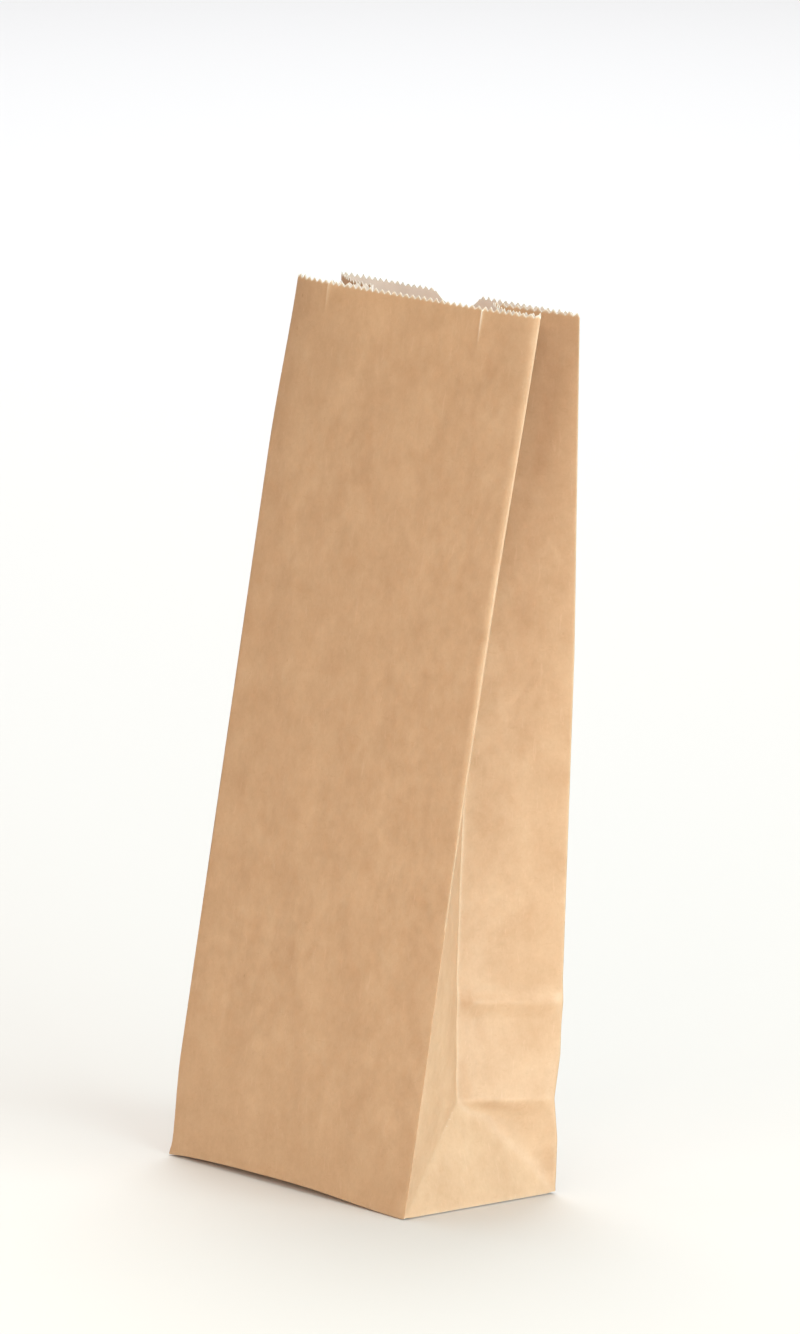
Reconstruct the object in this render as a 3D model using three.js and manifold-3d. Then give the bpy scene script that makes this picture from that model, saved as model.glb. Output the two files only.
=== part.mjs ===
// An open block-bottom paper bag, folded from one sheet of brown paper.
// Millimetres, +Z up. The origin is the middle of the base, on the surface the bag stands on.
// -Y is the front panel, which leans back over the base. +Y is the back panel, which stands almost upright.
// Both sides are gussets: each is folded inwards along its centre, above a triangle that rises from the base.
import * as THREE from 'three';
import { mergeVertices } from 'three/addons/utils/BufferGeometryUtils.js';
import Module from 'manifold-3d';

// ---- driving dimensions ----
const BASE_WIDTH = 120; // along X
const BASE_DEPTH = 65; // along Y
const GUSSET_WIDTH = 70; // flat width of one side panel, ridge to ridge
const FRONT_HEIGHT = 291.9; // height of the front panel's edge above the surface
const BACK_HEIGHT = 291;
const WALL = 0.4; // the sheet, with a little body for a solid
const BASE_THICKNESS = 0.8; // the folded flaps lie in several layers

// The ridges. Those in front lean back to topY and stand out from a straight line by bulge,
// which comes and goes over rise and fall, as shares of the height.
const FRONT_LEFT = { topY: 18.7, bulge: 2, rise: 0.12, fall: 0.2 };
const FRONT_RIGHT = { topY: 20.6, bulge: 1.7, rise: 0.5, fall: 0.35 };
const BACK_TOP_Y = 37.2;
const BACK_LEAN_HEIGHT = 180; // the back panel is upright above this
const PANEL_BULGE = { depth: 1.2, rise: 0.3, fall: 0.4 }; // the middle of a panel, beyond its ridges

// The front panel's free edge curves outwards, most near its left end
const MOUTH_BOW = 4.2;
const MOUTH_BOW_START = 9; // how quickly it curves out from the left ridge
const MOUTH_BOW_END = 6; // and back in to the right one
const MOUTH_BOW_EASING = 0.5; // the share lost from left to right
const MOUTH_BOW_REACH = 60; // and the curve dies out towards the base

// Folds
const APEX_HEIGHT = 32.3; // the point where a gusset's diagonal folds meet
const APEX_INSET = 14.6; // how far that point lies inside the base edge
const APEX_BLEND = 16; // height over which the centre fold runs on from it
const VALLEY_DEPTH = 1.9; // the fold across the back, level with the points
const VALLEY_REACH = 14;
const PRESS_HEIGHT = 65; // a weaker crease, one base depth up
const PRESS_DEPTH = 0.5;
const PRESS_REACH = 7;

// The mouth
const TOOTH_PITCH = BASE_WIDTH / 41.5; // pinked edge
const TOOTH_HEIGHT = 1.3;
const RIM_BAND = 4; // plain band between the last row and the pinked edge
const NOTCH_X = -0.5; // middle of the thumb notch, in the back panel
const NOTCH_WIDTH = 22.6;
const NOTCH_DEPTH = 5;
const SLITS = [
  { x: -41.6, width: 0.5, length: 9.5, lean: -0.4 },
  { x: 34.9, width: 1.3, length: 11.5, lean: -0.1 },
];

// Facets
const PANEL_STEPS = 12; // across the front and the back
const HALF_GUSSET_STEPS = 6; // also the rows up to the gusset's point
const ROW_SPACING = 16; // above the folds

const HALF_WIDTH = BASE_WIDTH / 2;
const HALF_DEPTH = BASE_DEPTH / 2;
const HALF_GUSSET = GUSSET_WIDTH / 2;
const APEX_V = APEX_HEIGHT / BACK_HEIGHT;

// Where the folds lie round the bag, from the front left ridge
const RIGHT_RIDGE = BASE_WIDTH;
const RIGHT_FOLD = RIGHT_RIDGE + HALF_GUSSET;
const BACK_RIGHT_RIDGE = RIGHT_RIDGE + GUSSET_WIDTH;
const BACK_LEFT_RIDGE = BACK_RIGHT_RIDGE + BASE_WIDTH;
const LEFT_FOLD = BACK_LEFT_RIDGE + HALF_GUSSET;
const PERIMETER = BACK_LEFT_RIDGE + GUSSET_WIDTH;

const { lerp, smoothstep } = THREE.MathUtils;

// ---- the ridges and the centre fold, by height as a share v of the full height ----

// 1 over most of the height and 0 at both ends
function plateau(v, rise, fall) {
  return smoothstep(v, 0, rise) * (1 - smoothstep(v, 1 - fall, 1));
}

// 1 at the crease, falling off in straight lines to 0 at reach
function crease(height, at, reach) {
  return Math.max(0, 1 - Math.abs(height - at) / reach);
}

function frontRidgeY(side, v) {
  const { topY, bulge, rise, fall } = side < 0 ? FRONT_LEFT : FRONT_RIGHT;
  return lerp(-HALF_DEPTH, topY, v) - bulge * plateau(v, rise, fall);
}

function backRidgeY(v) {
  const height = v * BACK_HEIGHT;
  const lean = lerp(HALF_DEPTH, BACK_TOP_Y, Math.min(1, height / BACK_LEAN_HEIGHT));
  const valley = VALLEY_DEPTH * crease(height, APEX_HEIGHT, VALLEY_REACH);
  const press = PRESS_DEPTH * crease(height, PRESS_HEIGHT, PRESS_REACH);
  return lean - valley + press;
}

function ridgePoints(side, v) {
  return {
    front: new THREE.Vector3(side * HALF_WIDTH, frontRidgeY(side, v), v * FRONT_HEIGHT),
    back: new THREE.Vector3(side * HALF_WIDTH, backRidgeY(v), v * BACK_HEIGHT),
  };
}

// A gusset's centre fold: half the gusset's width away from both ridges
function centreFold(side, v) {
  const { front, back } = ridgePoints(side, v);
  const halfGap = front.distanceTo(back) / 2;
  const folded = Math.sqrt(HALF_GUSSET ** 2 - halfGap ** 2);
  const blend = smoothstep((v - APEX_V) * BACK_HEIGHT, 0, APEX_BLEND);
  const inset = lerp(APEX_INSET, folded, blend);
  return front.add(back).multiplyScalar(0.5).setX(side * (HALF_WIDTH - inset));
}

// ---- the four panels; s runs from 0 to the panel's width, v from 0 to 1 ----

function panelBulge(across, v) {
  const arch = 1 - (2 * across - 1) ** 2;
  return arch * PANEL_BULGE.depth * plateau(v, PANEL_BULGE.rise, PANEL_BULGE.fall);
}

function mouthBow(s, v) {
  const start = 1 - Math.exp(-s / MOUTH_BOW_START);
  const end = 1 - Math.exp((s - BASE_WIDTH) / MOUTH_BOW_END);
  const easing = 1 - (MOUTH_BOW_EASING * s) / BASE_WIDTH;
  const nearMouth = Math.exp(((v - 1) * FRONT_HEIGHT) / MOUTH_BOW_REACH);
  return MOUTH_BOW * start * end * easing * nearMouth;
}

function frontPanel(s, v) {
  const across = s / BASE_WIDTH;
  const point = ridgePoints(-1, v).front.lerp(ridgePoints(1, v).front, across);
  point.y -= panelBulge(across, v) + mouthBow(s, v);
  return point;
}

function backPanel(s, v) {
  const across = s / BASE_WIDTH;
  const point = ridgePoints(1, v).back.lerp(ridgePoints(-1, v).back, across);
  point.y += panelBulge(across, v);
  return point;
}

// side 1 is the right gusset, side -1 the left; s runs from the front ridge to the back one
function gusset(side, s, v) {
  const { front, back } = ridgePoints(side, v);
  if (v >= APEX_V) {
    const fold = centreFold(side, v);
    if (s <= HALF_GUSSET) return front.lerp(fold, s / HALF_GUSSET);
    return fold.lerp(back, s / HALF_GUSSET - 1);
  }
  // Below the point, a triangle stands on the base edge between two diagonal folds
  const apex = centreFold(side, APEX_V);
  const share = v / APEX_V;
  const reach = HALF_GUSSET * share;
  const frontDiagonal = new THREE.Vector3(side * HALF_WIDTH, -HALF_DEPTH, 0).lerp(apex, share);
  const backDiagonal = new THREE.Vector3(side * HALF_WIDTH, HALF_DEPTH, 0).lerp(apex, share);
  if (s < reach) return front.lerp(frontDiagonal, s / reach);
  if (s > GUSSET_WIDTH - reach) return back.lerp(backDiagonal, (GUSSET_WIDTH - s) / reach);
  return frontDiagonal.lerp(backDiagonal, (s - reach) / (GUSSET_WIDTH - 2 * reach));
}

// The sheet's outer face. u runs round the bag: front, right gusset, back, left gusset
function sheet(u, v) {
  const around = ((u % PERIMETER) + PERIMETER) % PERIMETER;
  if (around < RIGHT_RIDGE) return frontPanel(around, v);
  if (around < BACK_RIGHT_RIDGE) return gusset(1, around - RIGHT_RIDGE, v);
  if (around < BACK_LEFT_RIDGE) return backPanel(around - BACK_RIGHT_RIDGE, v);
  return gusset(-1, PERIMETER - around, v);
}

// ---- thickness ----

const PROBE = 0.02; // how far to each side of a point the sheet's slope is taken, in mm
const FIRMNESS = 1e-3; // keeps the mitre finite where the facets round a point are level

// The outward normal of the facet that lies to one side of a point
function facetNormal(u, v, uSide, vSide) {
  const stepV = PROBE / BACK_HEIGHT;
  const uNear = u + uSide * PROBE;
  const vNear = v + vSide * stepV;
  const along = sheet(uNear + PROBE / 2, vNear).sub(sheet(uNear - PROBE / 2, vNear));
  const up = sheet(uNear, vNear + stepV / 2).sub(sheet(uNear, vNear - stepV / 2));
  return along.cross(up).normalize();
}

// From a point of the outer face to the inner one, WALL deep behind every facet that meets there.
// This is the least-squares mitre of the facets' planes.
function inward(u, v) {
  const vSides = [];
  if (v > 0) vSides.push(-1);
  if (v < 1) vSides.push(1);
  const planes = new THREE.Matrix3().multiplyScalar(FIRMNESS);
  const target = new THREE.Vector3();
  for (const uSide of [-1, 1]) {
    for (const vSide of vSides) {
      const normal = facetNormal(u, v, uSide, vSide);
      const [x, y, z] = normal.toArray();
      const product = [x * x, x * y, x * z, x * y, y * y, y * z, x * z, y * z, z * z];
      product.forEach((value, i) => { planes.elements[i] += value; });
      target.addScaledVector(normal, -WALL);
    }
  }
  return target.applyMatrix3(planes.invert());
}

// ---- where the rows and columns of points lie ----

function evenSteps(from, to, count) {
  return Array.from({ length: count }, (_, i) => lerp(from, to, i / count));
}

function panelColumns() {
  return [
    ...evenSteps(0, RIGHT_RIDGE, PANEL_STEPS),
    ...evenSteps(RIGHT_RIDGE, BACK_RIGHT_RIDGE, 2 * HALF_GUSSET_STEPS),
    ...evenSteps(BACK_RIGHT_RIDGE, BACK_LEFT_RIDGE, PANEL_STEPS),
    ...evenSteps(BACK_LEFT_RIDGE, PERIMETER, 2 * HALF_GUSSET_STEPS),
  ];
}

function rowShares() {
  const creaseRows = [
    APEX_HEIGHT,
    APEX_HEIGHT + VALLEY_REACH / 2,
    APEX_HEIGHT + VALLEY_REACH,
    PRESS_HEIGHT - PRESS_REACH,
    PRESS_HEIGHT,
  ];
  const plainFrom = PRESS_HEIGHT + PRESS_REACH;
  const plainTo = BACK_HEIGHT - RIM_BAND;
  const plainCount = Math.round((plainTo - plainFrom) / ROW_SPACING);
  const heights = [
    ...evenSteps(0, APEX_HEIGHT, HALF_GUSSET_STEPS),
    ...creaseRows,
    ...evenSteps(plainFrom, plainTo, plainCount),
    plainTo,
  ];
  return heights.map((height) => height / BACK_HEIGHT);
}

// The edge is cut with the bag folded flat, so its teeth are set by the place across the flat bag
function flatPlace(u) {
  if (u <= RIGHT_RIDGE) return u;
  if (u <= RIGHT_FOLD) return BASE_WIDTH - (u - RIGHT_RIDGE);
  if (u <= BACK_RIGHT_RIDGE) return BASE_WIDTH - (BACK_RIGHT_RIDGE - u);
  if (u <= BACK_LEFT_RIDGE) return BACK_LEFT_RIDGE - u;
  if (u <= LEFT_FOLD) return u - BACK_LEFT_RIDGE;
  return PERIMETER - u;
}

// 1 at a tooth's tip and 0 at its root
function toothShare(u) {
  const phase = (flatPlace(u) / TOOTH_PITCH) % 1;
  return Math.abs(2 * phase - 1);
}

// Every fold, and every tip and root of the teeth between two folds
function edgeColumns() {
  const folds = [0, RIGHT_RIDGE, RIGHT_FOLD, BACK_RIGHT_RIDGE, BACK_LEFT_RIDGE, LEFT_FOLD, PERIMETER];
  const halfPitch = TOOTH_PITCH / 2;
  const leastGap = 0.2; // of half a pitch, between a fold and the next tip or root
  const columns = folds.slice(0, -1);
  for (let i = 0; i + 1 < folds.length; i += 1) {
    const start = flatPlace(folds[i]);
    const end = flatPlace(folds[i + 1]);
    const first = Math.ceil(Math.min(start, end) / halfPitch + leastGap);
    const last = Math.floor(Math.max(start, end) / halfPitch - leastGap);
    for (let k = first; k <= last; k += 1) columns.push(folds[i] + Math.abs(k * halfPitch - start));
  }
  return columns.sort((a, b) => a - b);
}

// ---- the closed skin: outer face, inner face, pinked edge and base ----

class Skin {
  constructor() {
    this.positions = [];
    this.triangles = [];
  }

  addPoint(x, y, z) {
    this.positions.push(x, y, z);
    return this.positions.length / 3 - 1;
  }

  addRow(columns, shareAt) {
    const row = { columns, outer: [], inner: [] };
    for (const u of columns) {
      const v = shareAt(u);
      const outside = sheet(u, v);
      const inside = outside.clone().add(inward(u, v));
      if (v === 0) inside.z = BASE_THICKNESS;
      row.outer.push(this.addPoint(...outside));
      row.inner.push(this.addPoint(...inside));
    }
    return row;
  }

  // A facet of the outer face and its twin on the inner face. Each corner is a row and a column
  addFacet(...corners) {
    const outer = corners.map(([row, i]) => row.outer[i % row.outer.length]);
    const inner = corners.map(([row, i]) => row.inner[i % row.inner.length]);
    this.triangles.push(...outer, ...inner.reverse());
  }

  joinEqualRows(low, high) {
    for (let i = 0; i < low.columns.length; i += 1) {
      if (leansForward(low.columns[i])) {
        this.addFacet([low, i], [low, i + 1], [high, i + 1]);
        this.addFacet([low, i], [high, i + 1], [high, i]);
      } else {
        this.addFacet([low, i], [low, i + 1], [high, i]);
        this.addFacet([low, i + 1], [high, i + 1], [high, i]);
      }
    }
  }

  // Joins a row to one with other columns, always stepping along the row that is behind
  joinUnequalRows(low, high) {
    let i = 0;
    let j = 0;
    while (i < low.columns.length || j < high.columns.length) {
      const lowNext = low.columns[i + 1] ?? PERIMETER;
      const highNext = high.columns[j + 1] ?? PERIMETER;
      const lowIsBehind = i < low.columns.length && lowNext <= highNext;
      if (lowIsBehind || j >= high.columns.length) {
        this.addFacet([low, i], [low, i + 1], [high, j]);
        i += 1;
      } else {
        this.addFacet([low, i], [high, j + 1], [high, j]);
        j += 1;
      }
    }
  }

  // Joins the two faces along the edge of the mouth
  closeEdge({ outer, inner }) {
    for (let i = 0; i < outer.length; i += 1) {
      const next = (i + 1) % outer.length;
      this.triangles.push(outer[i], outer[next], inner[next]);
      this.triangles.push(outer[i], inner[next], inner[i]);
    }
  }

  closeBase({ outer, inner }) {
    const underside = this.addPoint(0, 0, 0);
    const floor = this.addPoint(0, 0, BASE_THICKNESS);
    for (let i = 0; i < outer.length; i += 1) {
      const next = (i + 1) % outer.length;
      this.triangles.push(underside, outer[next], outer[i]);
      this.triangles.push(floor, inner[i], inner[next]);
    }
  }

  toGeometry() {
    const geometry = new THREE.BufferGeometry();
    geometry.setAttribute('position', new THREE.Float32BufferAttribute(this.positions, 3));
    geometry.setIndex(this.triangles);
    return geometry;
  }
}

// The diagonal of each cell runs the way the gussets' own diagonal folds do
function leansForward(u) {
  const onRight = u >= RIGHT_RIDGE && u < RIGHT_FOLD;
  const onLeft = u >= BACK_LEFT_RIDGE && u < LEFT_FOLD;
  return onRight || onLeft;
}

function bagGeometry() {
  const skin = new Skin();
  const columns = panelColumns();
  const rows = rowShares().map((v) => skin.addRow(columns, () => v));
  for (let i = 0; i + 1 < rows.length; i += 1) skin.joinEqualRows(rows[i], rows[i + 1]);
  const toothDrop = TOOTH_HEIGHT / BACK_HEIGHT;
  const edge = skin.addRow(edgeColumns(), (u) => 1 - toothDrop * (1 - toothShare(u)));
  skin.joinUnequalRows(rows.at(-1), edge);
  skin.closeEdge(edge);
  skin.closeBase(rows[0]);
  return skin.toGeometry();
}

// ---- cuts in the edge of the mouth ----

const CUT_CLEARANCE = 3; // how far a cutter reaches past the edge and past each face of the sheet
const NOTCH_SEGMENTS = 24; // round the notch's whole circle

// A cutter of that shape, seen from the front, through the sheet at depth y
function cutterAt(y, shape) {
  const cutter = new THREE.ExtrudeGeometry(shape, {
    depth: 2 * CUT_CLEARANCE,
    bevelEnabled: false,
    curveSegments: NOTCH_SEGMENTS,
  });
  cutter.rotateX(Math.PI / 2);
  cutter.translate(0, y + CUT_CLEARANCE, 0);
  return cutter;
}

function thumbNotch() {
  const halfWidth = NOTCH_WIDTH / 2;
  const radius = (halfWidth ** 2 + NOTCH_DEPTH ** 2) / (2 * NOTCH_DEPTH);
  const shape = new THREE.Shape();
  shape.absarc(NOTCH_X, BACK_HEIGHT - NOTCH_DEPTH + radius, radius, 0, 2 * Math.PI);
  const middle = (BACK_RIGHT_RIDGE + BACK_LEFT_RIDGE) / 2 - NOTCH_X;
  return cutterAt(sheet(middle, 1).y, shape);
}

function slit({ x, width, length, lean }) {
  const shape = new THREE.Shape();
  shape.moveTo(x + lean, FRONT_HEIGHT - length);
  shape.lineTo(x + width / 2, FRONT_HEIGHT);
  shape.lineTo(x + width / 2, FRONT_HEIGHT + CUT_CLEARANCE);
  shape.lineTo(x - width / 2, FRONT_HEIGHT + CUT_CLEARANCE);
  shape.lineTo(x - width / 2, FRONT_HEIGHT);
  const halfWayUp = 1 - length / 2 / FRONT_HEIGHT;
  return cutterAt(sheet(x + HALF_WIDTH, halfWayUp).y, shape);
}

const wasm = await Module();
wasm.setup();

const MERGE_DISTANCE = 1e-4;

function toSolid(geometry) {
  const plain = geometry.clone();
  plain.deleteAttribute('normal');
  plain.deleteAttribute('uv');
  const merged = mergeVertices(plain, MERGE_DISTANCE);
  const vertProperties = new Float32Array(merged.attributes.position.array);
  const triVerts = new Uint32Array(merged.index.array);
  return new wasm.Manifold(new wasm.Mesh({ numProp: 3, vertProperties, triVerts }));
}

function toGeometry(solid) {
  const mesh = solid.getMesh();
  const geometry = new THREE.BufferGeometry();
  geometry.setAttribute('position', new THREE.BufferAttribute(mesh.vertProperties, 3));
  geometry.setIndex(new THREE.BufferAttribute(mesh.triVerts, 1));
  geometry.computeVertexNormals();
  return geometry;
}

const cutters = [thumbNotch(), ...SLITS.map(slit)];
const bagSolid = cutters.reduce((solid, cutter) => solid.subtract(toSolid(cutter)), toSolid(bagGeometry()));

const brownPaper = new THREE.MeshStandardMaterial({ color: 0xc9a074, roughness: 0.85, metalness: 0 });
const paperBag = new THREE.Mesh(toGeometry(bagSolid), brownPaper);
paperBag.name = 'paper_bag';

const bag = new THREE.Group();
bag.add(paperBag);

export default bag;
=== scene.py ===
import math

import bpy
import numpy as np
from mathutils import Matrix, Vector


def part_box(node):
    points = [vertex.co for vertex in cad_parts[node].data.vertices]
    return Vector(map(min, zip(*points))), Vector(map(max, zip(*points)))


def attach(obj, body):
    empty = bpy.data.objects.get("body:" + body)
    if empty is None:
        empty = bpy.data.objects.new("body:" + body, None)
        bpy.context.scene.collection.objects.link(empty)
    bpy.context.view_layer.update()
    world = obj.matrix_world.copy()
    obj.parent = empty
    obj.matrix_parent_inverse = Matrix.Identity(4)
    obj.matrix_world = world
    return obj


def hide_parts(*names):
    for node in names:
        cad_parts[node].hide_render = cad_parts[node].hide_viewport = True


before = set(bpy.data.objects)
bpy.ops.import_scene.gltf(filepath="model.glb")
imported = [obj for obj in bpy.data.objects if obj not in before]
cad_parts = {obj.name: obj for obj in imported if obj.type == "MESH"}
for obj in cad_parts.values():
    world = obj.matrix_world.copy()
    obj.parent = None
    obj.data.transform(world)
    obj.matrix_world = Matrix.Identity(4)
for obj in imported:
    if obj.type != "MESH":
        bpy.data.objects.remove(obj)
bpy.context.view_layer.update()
bagLow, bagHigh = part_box("paper_bag")
print("frame loaded")

mm = 0.001  # shapes below are worked out in millimetres

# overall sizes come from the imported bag
baseWidth = (bagHigh.x - bagLow.x) / mm
bagHeight = bagHigh.z / mm
baseDepth = 65.0  # at the floor; the bag leans back above it

bag = {
    "gussetWidth": 70.0,  # flat width of one folded side
    "backShortfall": 0.9,  # the back panel's edge ends this much lower
    "paper": 0.13,  # thickness of one ply
    # where each front ridge ends at the mouth, and how it bows on its way up
    "frontLeft": {"topY": 18.7, "bulge": 2.0, "rise": 0.12, "fall": 0.2},
    "frontRight": {"topY": 20.6, "bulge": 1.7, "rise": 0.5, "fall": 0.35},
    "backTopY": 37.2,
    "backLeanHeight": 180.0,
    "panelBulge": {"depth": 1.2, "rise": 0.3, "fall": 0.4},
    "mouthBow": {"depth": 4.2, "start": 9.0, "end": 6.0, "easing": 0.5, "reach": 60.0},  # of the front edge
    "apexHeight": 32.3,  # the gusset's point, over the triangle at its foot
    "apexInset": 15.1,
    "apexBlend": 12.5,
    "valley": {"depth": 1.9, "reach": 14.0},  # the back ridges dip level with that point
    "press": {"height": 64.0, "depth": 0.5, "reach": 7.0},  # the crease across the back half
}

seedNumber = 11
rng = np.random.default_rng(seedNumber)

halfWidth = baseWidth / 2
halfDepth = baseDepth / 2
halfGusset = bag["gussetWidth"] / 2
backHeight = bagHeight - bag["backShortfall"]
apexShare = bag["apexHeight"] / backHeight

# places round the sheet, from the front left ridge
rightRidge = baseWidth
rightFold = rightRidge + halfGusset
backRight = rightRidge + bag["gussetWidth"]
backLeft = backRight + baseWidth
leftFold = backLeft + halfGusset
girth = backLeft + bag["gussetWidth"]
panels = (("front", 0, rightRidge), ("right", rightRidge, backRight),
          ("back", backRight, backLeft), ("left", backLeft, girth))
panelStart = {name: start for name, start, end in panels}
diagonalShare = 0.68  # distance to a gusset's diagonal, for each mm round the sheet


def smooth(t):
    t = np.clip(t, 0.0, 1.0)
    return t * t * (3 - 2 * t)


def mix(a, b, t):
    return a + (b - a) * t


def plateau(v, rise, fall):
    return smooth(v / rise) * (1 - smooth((v - 1 + fall) / fall))


def bent(height, at, reach):
    return np.maximum(0.0, 1 - np.abs(height - at) / reach)


def stack(x, y, z):
    return np.stack(np.broadcast_arrays(x, y, z), axis=-1).astype(float)


# below, u runs round the sheet, s along one panel of it and v up it, from 0 to 1
# the right front ridge is creased twice higher up, which leaves a narrow turned band before it
ridgeBand = {"from": 85.0, "over": 110.0, "width": 2.7, "in": 0.75, "back": 0.75}


def ridgeTurn(v):
    return smooth((v * bagHeight - ridgeBand["from"]) / ridgeBand["over"])


def frontRidge(side, v):
    ridge = bag["frontLeft"] if side < 0 else bag["frontRight"]
    y = mix(-halfDepth, ridge["topY"], v) - ridge["bulge"] * plateau(v, ridge["rise"], ridge["fall"])
    turned = ridgeTurn(v) if side > 0 else 0.0
    return stack(side * halfWidth - ridgeBand["in"] * turned, y + ridgeBand["back"] * turned, v * bagHeight)


def backRidge(side, v):
    height = v * backHeight
    y = mix(halfDepth, bag["backTopY"], np.clip(height / bag["backLeanHeight"], None, 1))
    y = y - bag["valley"]["depth"] * bent(height, bag["apexHeight"], bag["valley"]["reach"])
    y = y + bag["press"]["depth"] * bent(height, bag["press"]["height"], bag["press"]["reach"])
    return stack(side * halfWidth, y, height)


def centreFold(side, v):
    front = frontRidge(side, v)
    back = backRidge(side, v)
    halfGap = np.linalg.norm(front - back, axis=-1) / 2
    folded = np.sqrt(np.maximum(halfGusset ** 2 - halfGap ** 2, 1.0))
    blend = 1 - np.exp(-np.maximum(v - apexShare, 0) * backHeight / bag["apexBlend"])
    inset = mix(bag["apexInset"], folded, blend)
    fold = (front + back) / 2
    fold[..., 0] = side * (halfWidth - inset)
    return fold


def panelBulge(across, v):
    bulge = bag["panelBulge"]
    return (1 - (2 * across - 1) ** 2) * bulge["depth"] * plateau(v, bulge["rise"], bulge["fall"])


def mouthBow(s, v):
    bow = bag["mouthBow"]
    start = 1 - np.exp(-s / bow["start"])
    end = 1 - np.exp((s - baseWidth) / bow["end"])
    easing = 1 - bow["easing"] * s / baseWidth
    nearMouth = np.exp((v - 1) * bagHeight / bow["reach"])
    return bow["depth"] * start * end * easing * nearMouth


def frontPanel(s, v):
    across = s / baseWidth
    point = mix(frontRidge(-1, v), frontRidge(1, v), across[..., None])
    point[..., 1] -= panelBulge(across, v) + mouthBow(s, v)
    band = ridgeTurn(v) * (np.maximum(0, 1 - (baseWidth - s) / ridgeBand["width"]) - across)
    point[..., 0] -= ridgeBand["in"] * band
    point[..., 1] += ridgeBand["back"] * band
    return point


def backPanel(s, v):
    across = s / baseWidth
    point = mix(backRidge(1, v), backRidge(-1, v), across[..., None])
    point[..., 1] += panelBulge(across, v)
    return point


def bell(distance, size):
    return np.exp(-(distance / size) ** 2)


# what keeps the two halves of a gusset from lying flat, in mm out of their planes
flanks = {
    "nose": 0.9,  # the front ridges are puffed out rather than pressed flat, higher up
    "noseFrom": 85.0,
    "noseOver": 130.0,
    "noseTurn": 1.8,
    "noseReach": 9.0,
    "frontBulge": 0.8,
    "foldTurn": 0.55,  # a second bend beside the centre fold
    "foldTurnAt": 4.2,
    "turnFrom": 12.0,
    "turnOver": 15.0,
    "bulgeFrom": 8.0,
    "bulgeOver": 30.0,
    "bulgeFadeFrom": 110.0,
    "bulgeTo": 230.0,
    "edgeFade": 5.0,
    "backSag": 0.8,
    "backSagOver": 25.0,
    "pressOut": 2.3,
    "pressReach": 4.4,
    "pointOut": 1.0,  # the fold level with the gusset's point
    "pointAbove": 9.0,
    "pointBelow": 6.0,
    "tuckIn": 1.3,  # the paper drops away behind the back diagonal
    "tuckReach": 4.6,
    "tuckBelow": 4.0,
    "tuckFrom": 2.0,
    "tuckOver": 8.0,
    "recessIn": 1.1,
    "recessAlong": 8.0,
    "recessUnder": 4.0,
    "recessLength": 6.0,
    "recessHeight": 3.4,
    "follow": 9.0,  # how closely a front half keeps to the front panel at the mouth
    "followFade": 0.6,
    "pinch": 5.0,  # the left gusset is pinched together at the mouth
    "pinchSag": 0.6,
}


def flankRelief(s, height):
    above = height - bag["apexHeight"]
    reach = halfGusset * np.clip(height / bag["apexHeight"], 0.02, 1)
    # the half that meets the back ridge
    fromFold = s - 2 * halfGusset + reach
    toRidge = 2 * halfGusset - s
    edges = smooth(fromFold / flanks["edgeFade"]) * smooth(toRidge / flanks["edgeFade"])
    press = flanks["pressOut"] * bent(height, bag["press"]["height"], flanks["pressReach"])
    overPoint = np.exp(-np.maximum(above, 0) / flanks["pointAbove"])
    underPoint = np.maximum(0, 1 + above / flanks["pointBelow"])
    point = flanks["pointOut"] * np.where(above > 0, overPoint, underPoint)
    recess = flanks["recessIn"] * bell(fromFold - flanks["recessAlong"], flanks["recessLength"])
    recess = recess * bell(above + flanks["recessUnder"], flanks["recessHeight"])
    behind = np.maximum(fromFold, 0) * diagonalShare / flanks["tuckReach"]
    tuck = flanks["tuckIn"] * behind * np.exp(1 - behind) * smooth(-above / flanks["tuckBelow"])
    tuck = tuck * smooth((height - flanks["tuckFrom"]) / flanks["tuckOver"])
    tuck = tuck * smooth(toRidge / flanks["edgeFade"])
    sag = flanks["backSag"] * np.sin(math.pi * np.clip(toRidge / reach, 0, 1))
    sag = sag * smooth(above / flanks["backSagOver"])
    back = edges * (press + point - recess) - tuck - sag
    # the half that meets the front ridge
    fading = (height - flanks["bulgeFadeFrom"]) / (flanks["bulgeTo"] - flanks["bulgeFadeFrom"])
    window = smooth((height - flanks["bulgeFrom"]) / flanks["bulgeOver"]) * (1 - smooth(fading))
    across = np.clip(s / reach, 0, 1)
    bend = 1 - flanks["foldTurnAt"] / reach
    beforeBend = across / np.maximum(bend, 0.05)
    afterBend = (1 - across) / np.maximum(1 - bend, 0.05)
    turn = np.clip(np.where(across < bend, beforeBend, afterBend), 0, 1)
    turn = turn * smooth((height - flanks["turnFrom"]) / flanks["turnOver"])
    front = flanks["frontBulge"] * np.sin(math.pi * across) + flanks["foldTurn"] * turn
    front = front * window * reach / halfGusset
    return np.where(fromFold > 0, back, np.where(s < reach, front, 0.0))


def gusset(side, s, v):
    point = flatGusset(side, s, v)
    height = v * backHeight
    point[..., 0] += side * flankRelief(s, height)
    nose = flanks["nose"] * smooth((height - flanks["noseFrom"]) / flanks["noseOver"])
    nose = nose * smooth(s / flanks["noseTurn"]) * np.exp(-(s / flanks["noseReach"]) ** 2)
    # by the mouth the front half keeps close behind the front panel
    near = np.clip(1 - s / halfGusset, 0, 1)
    follow = mouthBow(s if side < 0 else baseWidth - s, v) * smooth(near / flanks["followFade"])
    nearMouth = np.exp((v - 1) * bagHeight / bag["mouthBow"]["reach"])
    follow = follow + flanks["follow"] * near * (1 - near) * nearMouth
    point[..., 1] += nose - np.where(s < halfGusset, follow, 0.0)
    if side < 0:
        back = np.clip(2 - s / halfGusset, 0, 1)
        front = np.clip(s / halfGusset, 0, 1)
        pinch = np.where(s < halfGusset, front ** 2, back + flanks["pinchSag"] * np.sin(math.pi * back))
        point[..., 1] -= flanks["pinch"] * pinch * nearMouth
    return point


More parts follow.
